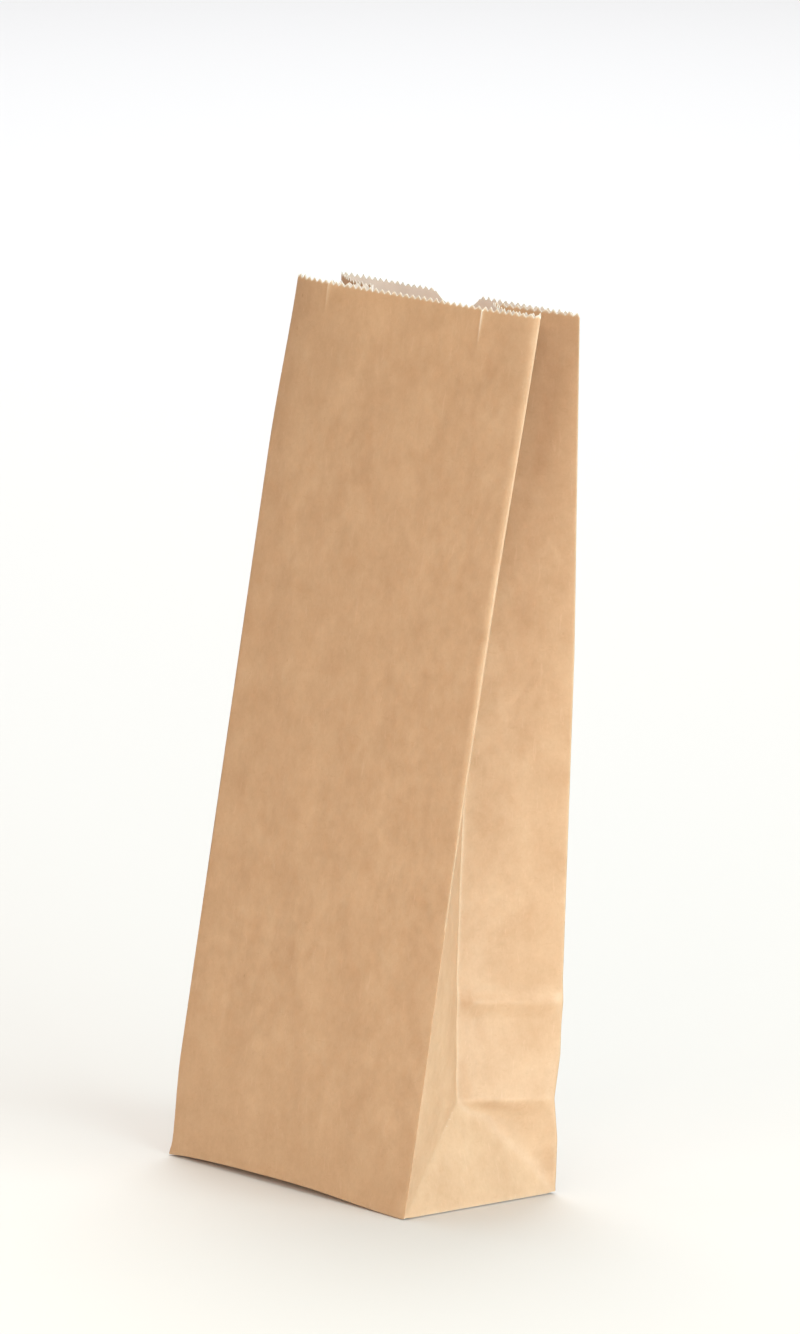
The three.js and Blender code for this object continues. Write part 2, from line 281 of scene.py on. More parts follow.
def flatGusset(side, s, v):
    front = frontRidge(side, v)
    back = backRidge(side, v)
    fold = centreFold(side, np.maximum(v, apexShare))
    share = s / halfGusset
    upper = np.where((share <= 1)[..., None],
                     mix(front, fold, share[..., None]),
                     mix(fold, back, share[..., None] - 1))
    # below the point a triangle stands on the base edge
    apex = centreFold(side, np.full_like(v, apexShare))
    rise = np.clip(v / apexShare, 1e-4, 1)
    reach = halfGusset * rise
    frontDiagonal = mix(stack(side * halfWidth, -halfDepth, np.zeros_like(v)), apex, rise[..., None])
    backDiagonal = mix(stack(side * halfWidth, halfDepth, np.zeros_like(v)), apex, rise[..., None])
    nearFront = mix(front, frontDiagonal, (s / reach)[..., None])
    nearBack = mix(back, backDiagonal, ((2 * halfGusset - s) / reach)[..., None])
    between = (s - reach) / np.maximum(2 * halfGusset - 2 * reach, 1e-3)
    facet = mix(frontDiagonal, backDiagonal, between[..., None])
    lower = np.where((s < reach)[..., None], nearFront,
                     np.where((s > 2 * halfGusset - reach)[..., None], nearBack, facet))
    return np.where((v >= apexShare)[..., None], upper, lower)


baseFlaps = {
    "frontReach": 42.0,  # how far each flap reaches in from its own edge
    "backReach": 42.0,
    "sideReach": 29.5,
    "sideSpare": 5.0,  # the side flaps lie on the others by this much
    "plyGap": 0.02,
    "settle": 2.5,
    "firstRows": (0.35, 0.8, 1.5, 2.6),
    "rowStep": 2.8,
    "turn": 0.35,  # the turn under the edge is round
    "turnReach": 0.7,
    "sideShare": 0.55,  # the side edges stand over the floor by this share of the plies under them
    "cornerBlend": 1.5,
    "cornerRise": 4.0,
    "levelFade": 8.0,
}


def underBase(panel, s, d):
    # the sheet turned under the bag, d in from the base edge
    if panel in ("front", "back"):
        outward = -1 if panel == "front" else 1
        sense = 1 if panel == "front" else -1
        x = sense * (s / halfWidth - 1) * (halfWidth - d)
        return stack(x, outward * (halfDepth - d), np.zeros_like(d))
    side = 1 if panel == "right" else -1
    spare = baseFlaps["sideSpare"] * smooth(d / 6)
    y = (s / halfGusset - 1) * np.maximum(halfDepth - d + spare, 0.5)
    return stack(side * (halfWidth - d), y, np.zeros_like(d))


def wallAt(u, v):
    u = np.mod(u, girth)
    point = np.zeros(np.shape(u) + (3,))
    for name, start, end in panels:
        here = (u >= start) & (u < end)
        if not here.any():
            continue
        s = u[here] - start
        if name == "front":
            point[here] = frontPanel(s, v[here])
        elif name == "right":
            point[here] = gusset(1, s, v[here])
        elif name == "back":
            point[here] = backPanel(s, v[here])
        else:
            point[here] = gusset(-1, 2 * halfGusset - s, v[here])
    return point


def sheetAt(u, height):
    # walls above the base, and the turned-under margin just below it
    v = height / backHeight
    point = wallAt(u, np.maximum(v, 0))
    under = height < 0
    if under.any():
        uu = np.mod(u, girth)
        for name, start, end in panels:
            here = under & (uu >= start) & (uu < end)
            if here.any():
                s = uu[here] - start
                if name == "left":
                    s = 2 * halfGusset - s
                point[here] = underBase(name, s, -height[here])
    return point


folds = {
    "sharp": 0.36,  # how tightly the paper is creased, in mm
    "soft": 1.7,  # and how far the fold is felt around it
    "softShare": 0.3,
    "crisp": 0.6,  # the paper was pressed harder between the gusset's point and the press line
    "crispStart": 2.0,
    "crispRise": 4.0,
    "crispEnd": 6.0,
    "crispFade": 12.0,
    "ridgeEase": 0.35,  # extra roundness of the front ridges higher up
    "easeFrom": 75.0,
    "easeOver": 150.0,
    "ridgeNear": 6.0,
    "ridgeCrisp": 0.8,  # low down the ridges are this much sharper than other folds
    "hardBelow": 95.0,  # and hold a hard line
    "ridgeHold": 9.0,  # rounding doesn't draw the ridges in; the paper this near is moved out again
    "holdOver": 6.0,
}


def gaussSamples(count):
    widest = 2.2
    places = np.linspace(-widest, widest, count)
    weights = np.exp(-0.5 * places ** 2)
    return places, weights / weights.sum()


def softened(pointAt, u, height, sharp):
    # the average over a small patch of the sheet rounds every fold
    total = np.zeros(np.shape(u) + (3,))
    overPoint = height - bag["apexHeight"] - folds["crispStart"]
    overPress = height - bag["press"]["height"] - folds["crispEnd"]
    crisp = smooth(overPoint / folds["crispRise"]) * (1 - smooth(overPress / folds["crispFade"]))
    soft = folds["soft"] * (1 - folds["crisp"] * crisp)
    across, acrossWeights = gaussSamples(11)
    upward, upwardWeights = gaussSamples(5)
    for spread, share in ((sharp, 1 - folds["softShare"]), (soft, folds["softShare"])):
        for du, wu in zip(across, acrossWeights):
            for dh, wh in zip(upward, upwardWeights):
                total += share * wu * wh * pointAt(u + du * spread, height + dh * spread)
    return total


def foldRoundness(u, height):
    uu = np.mod(u, girth)
    nearRight = bell(uu - rightRidge, folds["ridgeNear"])
    nearRidge = nearRight + bell(np.minimum(uu, girth - uu), folds["ridgeNear"])
    ease = smooth((height - folds["easeFrom"]) / folds["easeOver"])
    sharpness = 1 - folds["ridgeCrisp"] * nearRidge * (1 - ease)
    return folds["sharp"] * sharpness + folds["ridgeEase"] * nearRidge * ease


def ridgesHeld(grid, u, height):
    # each ridge goes back out to where the sheet's fold line is
    held = grid.copy()
    middle = grid.shape[1] // 2
    for at in (0, rightRidge, backRight, backLeft):
        line = np.full((len(grid), 1), float(at))
        rise = height[:, middle:middle + 1]
        gap = sheetAt(line + 1e-6, rise) - softened(sheetAt, line, rise, foldRoundness(line, rise))
        gap *= smooth(rise / folds["holdOver"])[..., None]
        away = np.abs(np.mod(u - at + girth / 2, girth) - girth / 2)
        held += gap * bell(away, folds["ridgeHold"])[..., None]
    return held


mouth = {
    "toothPitch": baseWidth / 41.5,
    "toothHeight": 1.3,
    "toothJitter": 0.16,  # how unevenly the blade cut
    "leastStep": 0.12,  # between a fold and the column beside it
    "rim": 0.5,  # paper left below the roots in the last row
    "notchX": -0.5,
    "notchWidth": 22.6,
    "notchDepth": 5.0,
    "notchEdge": 0.9,  # the teeth end where the notch is this deep
    "notchBlend": 26.0,  # rows are drawn down over this height
    # the slits' lips are painted pale: painted highlight where the lit inside shows through the cut
    "slits": [
        {"x": -41.6, "length": 10.5, "width": 0.05, "flare": 0.5, "lean": 0.7, "paleFibreAndLight": 0.5},
        {"x": 34.9, "length": 11.5, "width": 0.55, "flare": 0.6, "lean": 0.6, "paleFibreAndLight": 0.95},
    ],
    "slitSpread": 9,  # a slit moves this many columns to each side
    "slitCurl": 0.9,  # and its edges curl less with each
    "slitBack": 0.12,
    "slitLipHighlight": 0.7,
    "paleFibreAndLight": 1.0,  # how pale the pinked edge is painted: white cut fibres, and painted glow of light through the thin teeth
}

seam = {"x": 6.0, "overlap": 12.0, "lift": 0.17, "ramp": 8.0, "blend": 24.0, "fade": 1.5}

sheetSteps = {
    "atBase": 0.35,  # height of a row there
    "atApex": 0.6,
    "atPress": 0.7,
    "growth": 0.28,  # rows grow with the distance from these
    "most": 1.9,
}


def flatPlace(u):
    u = np.mod(u, girth)
    return np.select(
        [u <= rightRidge, u <= rightFold, u <= backRight, u <= backLeft, u <= leftFold],
        [u, baseWidth - (u - rightRidge), baseWidth - (backRight - u), backLeft - u, u - backLeft],
        girth - u)


def sheetColumns():
    quarter = mouth["toothPitch"] / 4
    panelSteps = np.arange(round(baseWidth / quarter)) * quarter
    gussetSteps = np.arange(int(halfGusset / quarter) + 1) * quarter
    gussetSteps = gussetSteps[gussetSteps < halfGusset - mouth["leastStep"]]
    fromFront = np.concatenate([gussetSteps, [halfGusset], 2 * halfGusset - gussetSteps[:0:-1]])
    around = np.concatenate([panelSteps, rightRidge + fromFront,
                             backRight + panelSteps, backLeft + fromFront])
    # the sheet starts and ends at the glued seam, where its end lies over its start
    start = backRight + (halfWidth - seam["x"])
    start = around[np.argmin(np.abs(around - start))]
    once = np.concatenate([around[around >= start], around[around < start] + girth])
    spare = once[once < start + seam["overlap"]] + girth
    return np.concatenate([once, spare]), start


def sheetRows():
    marks = [(0.0, sheetSteps["atBase"]), (bag["apexHeight"], sheetSteps["atApex"]),
             (bag["press"]["height"], sheetSteps["atPress"])]
    top = backHeight - mouth["toothHeight"] - mouth["rim"]
    rows = [0.0]
    while rows[-1] < top:
        height = rows[-1]
        step = min(sheetSteps["growth"] * abs(height - at) + least for at, least in marks)
        rows.append(height + min(step, sheetSteps["most"]))
    rows = np.array(rows)
    return rows * top / rows[-1]


def notchDrop(u):
    # an arc cut into the back panel's edge
    uu = np.mod(u, girth)
    x = halfWidth - (uu - backRight) - mouth["notchX"]
    half = mouth["notchWidth"] / 2
    radius = (half ** 2 + mouth["notchDepth"] ** 2) / (2 * mouth["notchDepth"])
    arc = np.sqrt(np.maximum(radius ** 2 - x ** 2, 0)) - radius + mouth["notchDepth"]
    inBack = (uu > backRight) & (uu < backLeft) & (np.abs(x) < half)
    return np.where(inBack, arc, 0.0)


def toothShare(u):
    phase = np.mod(flatPlace(u) / mouth["toothPitch"], 1)
    return np.abs(2 * phase - 1)


columns, sheetStart = sheetColumns()
rows = sheetRows()
columnCount = len(columns)
print("sheet of", columnCount, "columns and", len(rows) + 1, "rows")

drop = notchDrop(columns)
rowHeights = np.repeat(rows[:, None], columnCount, axis=1)
blendFrom = rows[-1] - mouth["notchBlend"]
above = np.clip((rowHeights - blendFrom) / mouth["notchBlend"], 0, 1)
rowHeights = rowHeights - above * drop[None, :]
# the last row is the pinked edge, plain inside the thumb notch
toothed = 1 - smooth(drop / mouth["notchEdge"])
jitter = rng.normal(0, mouth["toothJitter"], columnCount)
tipHeight = mouth["toothHeight"] * toothShare(columns) + jitter * toothShare(columns)
edgeHeights = rowHeights[-1] + mouth["rim"] + mix(mouth["toothHeight"] * 0.5, tipHeight, toothed)
rowHeights = np.vstack([rowHeights, edgeHeights])
rowCount = len(rowHeights)
columnGrid = np.repeat(columns[None, :], rowCount, axis=0)

points = softened(sheetAt, columnGrid, rowHeights, foldRoundness(columnGrid, rowHeights))
points = ridgesHeld(points, columnGrid, rowHeights)
print("folds softened")


def waveField(u, height, waves):
    total = np.zeros_like(u)
    for across, up, phase, size in waves:
        total += size * np.cos(across * u + up * height + phase)
    return total


def makeWaves(count, acrossLength, upLength, size):
    variety = 0.35
    waves = []
    for _ in range(count):
        across = 2 * math.pi / (acrossLength * math.exp(rng.normal(0, variety)))
        up = 2 * math.pi / (upLength * math.exp(rng.normal(0, variety)))
        direction = rng.choice([-1, 1])
        phase = rng.uniform(0, 2 * math.pi)
        waves.append((across, up * direction, phase, size / math.sqrt(count)))
    return waves


# the paper isn't quite even: how many waves, their lengths across and up, and their size
rolls = makeWaves(10, 46, 120, 0.2)
ripples = makeWaves(14, 21, 30, 0.06)
cockle = makeWaves(18, 8, 13, 0.018)


def gridNormals(grid):
    along = np.empty_like(grid)
    along[:, 1:-1] = grid[:, 2:] - grid[:, :-2]
    along[:, 0] = grid[:, 1] - grid[:, 0]
    along[:, -1] = grid[:, -1] - grid[:, -2]
    up = np.empty_like(grid)
    up[1:-1] = grid[2:] - grid[:-2]
    up[0] = grid[1] - grid[0]
    up[-1] = grid[-1] - grid[-2]
    normal = np.cross(along, up)
    return normal / np.maximum(np.linalg.norm(normal, axis=-1, keepdims=True), 1e-9)


def ridgeDistance(u):
    uu = np.mod(u, girth)
    marks = (0, rightRidge, backRight, backLeft, girth)
    return np.min([np.abs(uu - at) for at in marks], axis=0)


def foldDistance(u, height):
    # to the nearest fold of the gussets, measured on the paper
    uu = np.mod(u, girth)
    s = np.where((uu > rightRidge) & (uu < backRight), uu - rightRidge,
                 np.where(uu > backLeft, girth - uu, 1e3))
    centre = np.where(height > bag["apexHeight"], np.abs(s - halfGusset), 1e3)
    reach = halfGusset * np.clip(height / bag["apexHeight"], 0, 1)
    low = height < bag["apexHeight"] + 1
    across = np.minimum(np.abs(s - reach), np.abs(2 * halfGusset - reach - s))
    return np.minimum(centre, np.where(low, across * diagonalShare, 1e3))


ridgeGap = ridgeDistance(columnGrid)
foldGap = foldDistance(columnGrid, rowHeights)
# near its ridges, folds and base edge the paper stays straight
rollsFade = {"ridge": 16.0, "fold": 9.0, "base": 2.0, "over": 22.0}
cockleFade = {"ridge": 5.0, "fold": 4.0, "base": 1.0, "over": 8.0}


def calmness(fade):
    calm = smooth(ridgeGap / fade["ridge"]) * smooth(foldGap / fade["fold"])
    return calm * smooth((rowHeights - fade["base"]) / fade["over"])


def swayAt(u, height):
    broad = waveField(u, height, rolls) + waveField(u, height, ripples)
    return broad * calmness(rollsFade) + waveField(u, height, cockle) * calmness(cockleFade)


# the sheet's end lies over its start at the seam, and bends as it does
past = columnGrid - (sheetStart + girth)
together = smooth(past / seam["blend"] + 1)
sway = mix(swayAt(columnGrid, rowHeights), swayAt(columnGrid - girth, rowHeights), together)
seamLift = seam["lift"] * smooth((past + seam["ramp"]) / seam["ramp"])
normals = gridNormals(points)
points = points + normals * (sway + seamLift)[..., None]

# how high each panel's base edge stands on the plies under it
plyStep = bag["paper"] + baseFlaps["plyGap"]
flapLevel = {"front": 0.0, "back": plyStep, "right": 3 * plyStep, "left": 3 * plyStep}

# the front edge stands clear of the floor, most near its middle
frontLift = {"height": 1.9, "peak": 0.5, "left": 0.36, "depth": 46.0, "rise": 26.0}

# small dents and lifts: where each is, how far it moves, and how far around it is felt
dents = [
    {"name": "backRightCorner", "at": (halfWidth, halfDepth, 0), "move": (0.3, 0.6, 0.3), "reach": 2.6},
    {"name": "frontLeftTip", "at": (-halfWidth, -halfDepth, 0), "move": (-1.3, -0.3, 0.0), "reach": 3.2},
    {"name": "frontRightPinch", "at": (halfWidth, -halfDepth, 5.0), "move": (-0.5, 0.3, 0.0), "reach": 2.4},
    {"name": "ridgeNick", "at": (halfWidth, -19.5, 63.5), "move": (-0.7, 0.4, 0.0), "reach": 3.0},
]


def baseLift(grid):
    along = np.clip((grid[..., 0] + halfWidth) / baseWidth, 0, 1)
    leftSide = np.clip(along / frontLift["peak"], 0, 1)
    rightSide = np.clip((1 - along) / (1 - frontLift["peak"]), 0, 1)
    arch = smooth(leftSide ** frontLift["left"]) * smooth(rightSide)
    towardsFront = smooth(1 - (grid[..., 1] + halfDepth) / frontLift["depth"])
    low = np.exp(-np.maximum(grid[..., 2], 0) / frontLift["rise"])
    return frontLift["height"] * arch * towardsFront * low


def dented(grid):
    moved = grid.copy()
    for dent in dents:
        gap = np.linalg.norm(grid - np.array(dent["at"]), axis=-1)
        moved += bell(gap, dent["reach"])[..., None] * np.array(dent["move"])
    return moved


def levelAt(u):
    # height of the base edge over the floor, blended round the corners
    uu = np.mod(u, girth)
    level = np.zeros_like(uu)
    blend = baseFlaps["cornerBlend"]
    for name, start, end in panels:
        fromCorner = np.minimum(uu - start, end - uu)
        inside = smooth((fromCorner + blend) / (2 * blend))
        if name in ("right", "left"):
            inside = inside * mix(1, baseFlaps["sideShare"], smooth(fromCorner / baseFlaps["cornerRise"]))
        level += flapLevel[name] * np.where((uu > start - blend) & (uu < end + blend), inside, 0)
    return level


points[..., 2] += levelAt(columnGrid) * np.exp(-np.maximum(rowHeights, 0) / baseFlaps["levelFade"])
points[..., 2] += baseLift(points)
points = dented(points)


# the sheet's outer face, which gets its thickness later
class PaperMesh:
    def __init__(self):
        self.places = []
        self.marks = []
        self.faces = []
        self.count = 0

    def add(self, grid, marks):
        shape = grid.shape[:-1]
        self.places.append(grid.reshape(-1, 3))
        self.marks.append(marks.reshape(-1, marks.shape[-1]))
        first = self.count
        self.count += int(np.prod(shape))
        return np.arange(first, self.count).reshape(shape)

    def joinGrid(self, asRight, asLeft):
        # asRight is used where a column closes a face, asLeft where it starts one
        quads = np.stack([asLeft[:-1, :-1], asRight[:-1, 1:], asRight[1:, 1:], asLeft[1:, :-1]], axis=-1)
        self.faces.append(quads.reshape(-1, 4))


# how pale each fold is painted, and how far to each side: partly real rubbed fibres, partly painted
# highlight where the upper front ridges round over and just above the press crease
rubbedAndHighlit = {
    "ridge": {"amount": 0.15, "width": 1.4},
    "fold": {"amount": 0.6, "width": 0.7},
    "across": {"amount": 0.5, "width": 0.9},
    "press": {"amount": 0.9, "width": 2.0},
    "base": {"amount": 0.5, "width": 1.0},
    "lowShare": 0.3,  # the folds below the gusset's point are rubbed less
    "lowFade": 4.0,
    "pressAbove": 2.0,
}


def rubbedAndHighlitLine(name, distance):
    return rubbedAndHighlit[name]["amount"] * bell(distance, rubbedAndHighlit[name]["width"])


# painted highlight and wear: the front ridges count only higher up, where their rounding catches the light,
# and the band just above the press crease is where the paper faces up into the light; the other folds and
# the base edge are rubbed pale
def wearAndHighlightMarks(u, height):
    uu = np.mod(u, girth)
    atBack = (uu > rightFold) & (uu < leftFold)
    fromPoint = height - bag["apexHeight"]
    fromPress = height - bag["press"]["height"] - rubbedAndHighlit["pressAbove"]
    eased = smooth((height - folds["easeFrom"]) / folds["easeOver"])
    ridge = rubbedAndHighlitLine("ridge", ridgeDistance(u)) * eased
    fold = rubbedAndHighlitLine("fold", foldDistance(u, height))
    fold = fold * mix(rubbedAndHighlit["lowShare"], 1, smooth(fromPoint / rubbedAndHighlit["lowFade"]))
    across = rubbedAndHighlitLine("across", fromPoint) * atBack
    pressed = rubbedAndHighlitLine("press", fromPress) * atBack
    return np.maximum.reduce([ridge, fold, across, pressed, rubbedAndHighlitLine("base", height)])


def paperMarks(u, height, paleFibreAndLight=0.0):
    return np.stack(np.broadcast_arrays(u * mm, height * mm, wearAndHighlightMarks(u, height), paleFibreAndLight), axis=-1)


paperMesh = PaperMesh()
paleFibreAndLight = np.zeros_like(rowHeights)
paleFibreAndLight[-1] = mouth["paleFibreAndLight"]
wallIndex = paperMesh.add(points, paperMarks(columnGrid, rowHeights, paleFibreAndLight))
closing = wallIndex.copy()
starting = wallIndex.copy()


def cutSlit(slit):
    # it runs down from the root of a tooth; each side of the cut moves apart and curls a little
    pitch = mouth["toothPitch"]
    root = (round((slit["x"] + halfWidth) / pitch - 0.5) + 0.5) * pitch
    column = int(np.argmin(np.abs(columns - (girth + root))))
    heights = rowHeights[:, column]
    cut = np.where(heights > heights[-1] - slit["length"])[0]
    share = (heights[cut] - (heights[-1] - slit["length"])) / slit["length"]
    left = points[cut, column].copy()
    right = points[cut, column].copy()
    left[:, 0] += slit["lean"] * share - slit["width"] / 2 * share
    right[:, 0] += slit["lean"] * share + slit["width"] / 2 * share
    left[:, 1] += mouth["slitBack"] * share
    right[:, 1] -= slit["flare"] * share
    lipHighlight = slit["paleFibreAndLight"] * np.sqrt(np.maximum(share, 0))
    marks = paperMarks(columnGrid[cut, column], heights[cut], lipHighlight)
    places = paperMesh.places[0]
    paleAndLitChannel = paperMesh.marks[0][:, 3]
    places[wallIndex[cut, column]] = left
    paperMesh.marks[0][wallIndex[cut, column]] = marks
    starting[cut, column] = paperMesh.add(right, marks)
    # neighbours follow, fading away from the cut; the right lip's neighbours get painted highlight too
    for step in range(1, mouth["slitSpread"]):
        fade = (1 - step / mouth["slitSpread"]) ** 2
        curl = math.exp(-mouth["slitCurl"] * step)
        before = wallIndex[cut, column - step]
        after = wallIndex[cut, column + step]
        places[before, 0] += (slit["lean"] - slit["width"] / 2) * share * fade
        places[after, 0] += (slit["lean"] + slit["width"] / 2) * share * fade
        places[after, 1] -= slit["flare"] * share * curl
        paleAndLitChannel[after] = np.maximum(paleAndLitChannel[after], mouth["slitLipHighlight"] * lipHighlight * curl)


for slit in mouth["slits"]:
    cutSlit(slit)
paperMesh.joinGrid(closing, starting)


def repeated(u, depths):
    # the same columns for every row of a flap
    return np.repeat(u[None, :], len(depths), axis=0), np.repeat(depths[:, None], len(u), axis=1)


def addBaseFlap(panel, chosen, reach, level):
    # one flap of the block bottom, from its base edge inwards
    depths = list(baseFlaps["firstRows"])
    while depths[-1] < reach:
        depths.append(depths[-1] + baseFlaps["rowStep"])
    depths = np.array(depths) * reach / depths[-1]
    u = columns[chosen]
    uu = np.mod(u, girth)
    s = uu - panelStart[panel]
    if panel == "front":
        s = np.where(uu > rightRidge + 1, uu - girth, uu)
    if panel == "left":
        s = 2 * halfGusset - np.where(uu < backLeft - 1, s + girth, s)
    s = np.clip(s, 0, 2 * halfGusset if panel in ("right", "left") else baseWidth)
    grid = underBase(panel, *repeated(s, depths))
    edgeLevel = levelAt(u)[None, :]
    settle = smooth(depths / baseFlaps["settle"])[:, None]
    turn = baseFlaps["turn"] * np.exp(-depths / baseFlaps["turnReach"])[:, None]
    grid[..., 2] = mix(edgeLevel, level, settle) + turn
    grid[..., 2] += baseLift(grid)
    grid = dented(grid)
    flapColumns, flapDepths = repeated(u, depths)
    index = paperMesh.add(grid, paperMarks(flapColumns, -flapDepths))
    index = np.vstack([wallIndex[0, chosen][None, :], index])[::-1]
    paperMesh.joinGrid(index, index)


def columnsBetween(low, high):
    return np.where((columns >= low - 1e-6) & (columns <= high + 1e-6))[0]


for panel, low, high, reach, level in (
        ("back", sheetStart, backLeft, baseFlaps["backReach"], 2 * plyStep),
        ("left", backLeft, girth, baseFlaps["sideReach"], flapLevel["left"]),
        ("front", girth, girth + rightRidge, baseFlaps["frontReach"], flapLevel["front"]),
        ("right", girth + rightRidge, girth + backRight, baseFlaps["sideReach"], flapLevel["right"]),
        ("back", girth + backRight, columns[-1], baseFlaps["backReach"], plyStep)):
    addBaseFlap(panel, columnsBetween(low, high), reach, level)
print("walls and base flaps laid")


def vertexNormals(places, faces):
    a, b, c, d = (places[faces[:, k]] for k in range(4))
    faceNormals = np.cross(c - a, d - b)
    total = np.zeros_like(places)
    for k in range(4):
        np.add.at(total, faces[:, k], faceNormals)
    return total / np.maximum(np.linalg.norm(total, axis=1, keepdims=True), 1e-12)


def borderEdges(faces):
    edges = np.concatenate([np.stack([faces[:, k], faces[:, (k + 1) % 4]], axis=1) for k in range(4)])
    keys = np.sort(edges, axis=1)
    order = np.lexsort((keys[:, 1], keys[:, 0]))
    keys = keys[order]
    same = (keys[1:] == keys[:-1]).all(axis=1)
    alone = np.ones(len(keys), bool)
    alone[1:] &= ~same
    alone[:-1] &= ~same
    return edges[order[alone]]


def addMark(mesh, name, domain, values):
    mark = mesh.attributes.new(name, "FLOAT", domain)
    mark.data.foreach_set("value", values.astype(np.float32))


def twoPlies(u):
    # where the sheet's end and its start lie on each other, along the seam
    overPly = smooth((u - girth) / seam["fade"])
    underPly = 1 - smooth((u - seam["overlap"]) / seam["fade"])
    return np.where(u > girth - 0.1, overPly, underPly)


def creasedEdges(mesh, u, height):
    # the front ridges, low down where they are pressed hard
    onLine = 0.05
    around = np.mod(u + onLine, girth) - onLine
    onRidge = (np.abs(around) < onLine) | (np.abs(around - rightRidge) < onLine)
    hard = onRidge & (height < folds["hardBelow"])
    ends = np.zeros(len(mesh.edges) * 2, np.int32)
    mesh.edges.foreach_get("vertices", ends)
    start, end = ends.reshape(-1, 2).T
    return hard[start] & hard[end] & (np.abs(u[start] - u[end]) < 1e-3)


def buildPaper(name, source, thickness):
    places = np.concatenate(source.places)
    marks = np.concatenate(source.marks)
    faces = np.concatenate(source.faces)
    count = len(places)
    inward = places - vertexNormals(places, faces) * thickness
    allPlaces = np.concatenate([places, inward]) * mm
    rim = borderEdges(faces)
    rimFaces = np.stack([rim[:, 1], rim[:, 0], rim[:, 0] + count, rim[:, 1] + count], axis=1)
    allFaces = np.concatenate([faces, faces[:, ::-1] + count, rimFaces])
    mesh = bpy.data.meshes.new(name)
    mesh.vertices.add(len(allPlaces))
    mesh.vertices.foreach_set("co", allPlaces.astype(np.float32).ravel())
    mesh.loops.add(allFaces.size)
    mesh.loops.foreach_set("vertex_index", allFaces.astype(np.int32).ravel())
    mesh.polygons.add(len(allFaces))
    mesh.polygons.foreach_set("loop_start", np.arange(0, allFaces.size, 4, dtype=np.int32))
    mesh.update(calc_edges=True)
    mesh.validate()
    cut = np.zeros(len(mesh.polygons), bool)
    cut[-len(rimFaces):] = True
    mesh.polygons.foreach_set("use_smooth", ~cut)
    both = np.concatenate([marks, marks])
    paper = mesh.attributes.new("paper", "FLOAT_VECTOR", "POINT")
    paper.data.foreach_set("vector", both[:, :3].astype(np.float32).ravel())
    u = both[:, 0] / mm
    addMark(mesh, "paleFibreAndLight", "POINT", both[:, 3])
    addMark(mesh, "inner", "POINT", np.repeat([0.0, 1.0], count))
    addMark(mesh, "doubled", "POINT", twoPlies(u - sheetStart))
    addMark(mesh, "cutEdge", "FACE", cut)
    sharp = mesh.attributes.new("sharp_edge", "BOOLEAN", "EDGE")
    sharp.data.foreach_set("value", creasedEdges(mesh, u, both[:, 1] / mm))
    piece = bpy.data.objects.new(name, mesh)
    bpy.context.scene.collection.objects.link(piece)
    return piece


foldedSheet = buildPaper("foldedSheet", paperMesh, bag["paper"])
print("paper mesh built,", len(foldedSheet.data.polygons), "faces")


class NodeMaker:
    def __init__(self, name):
        self.material = bpy.data.materials.new(name)
        self.material.use_nodes = True
        self.tree = self.material.node_tree
        self.tree.nodes.clear()

    def node(self, kind, inputs=None, **settings):
        made = self.tree.nodes.new(kind)
        for key, value in settings.items():
            setattr(made, key, value)
        for key, value in (inputs or {}).items():
            if isinstance(value, bpy.types.NodeSocket):
                self.tree.links.new(value, made.inputs[key])
            else:
                made.inputs[key].default_value = value
        return made

    def math(self, operation, a, b=0.0, clamp=False):
        return self.node("ShaderNodeMath", {0: a, 1: b}, operation=operation, use_clamp=clamp).outputs[0]

    def mixColour(self, factor, a, b, blend="MIX"):
        made = self.node("ShaderNodeMix", data_type="RGBA", blend_type=blend)
        for key, value in (("Factor", factor), ("A", a), ("B", b)):
            socket = [s for s in made.inputs if s.name == key and s.enabled][0]
            if isinstance(value, bpy.types.NodeSocket):
                self.tree.links.new(value, socket)
            else:
                socket.default_value = value
        return [s for s in made.outputs if s.enabled][0]

    def ramp(self, value, stops):
        made = self.node("ShaderNodeValToRGB", {"Fac": value})
        elements = made.color_ramp.elements
        while len(elements) < len(stops):
            elements.new(0.5)
        for element, (place, level) in zip(elements, stops):
            element.position = place
            element.color = (level, level, level, 1)
        return made.outputs["Color"]

    def scaled(self, vector, scale, shift=(0, 0, 0)):
        made = self.node("ShaderNodeMapping", {"Vector": vector, "Scale": scale, "Location": shift})
        return made.outputs["Vector"]

    def noise(self, vector, fibres):
        stretched = self.scaled(vector, fibres["stretch"], fibres.get("shift", (0, 0, 0)))
        made = self.node("ShaderNodeTexNoise", {
            "Vector": stretched, "Scale": fibres["scale"], "Detail": fibres["detail"],
            "Roughness": fibres["roughness"], "Distortion": fibres.get("distortion", 0.0)})
        return made.outputs["Fac"]

    def attribute(self, name):
        return self.node("ShaderNodeAttribute", attribute_name=name)

    def finish(self, shader):
        out = self.node("ShaderNodeOutputMaterial")
        self.tree.links.new(shader, out.inputs["Surface"])
        return self.material


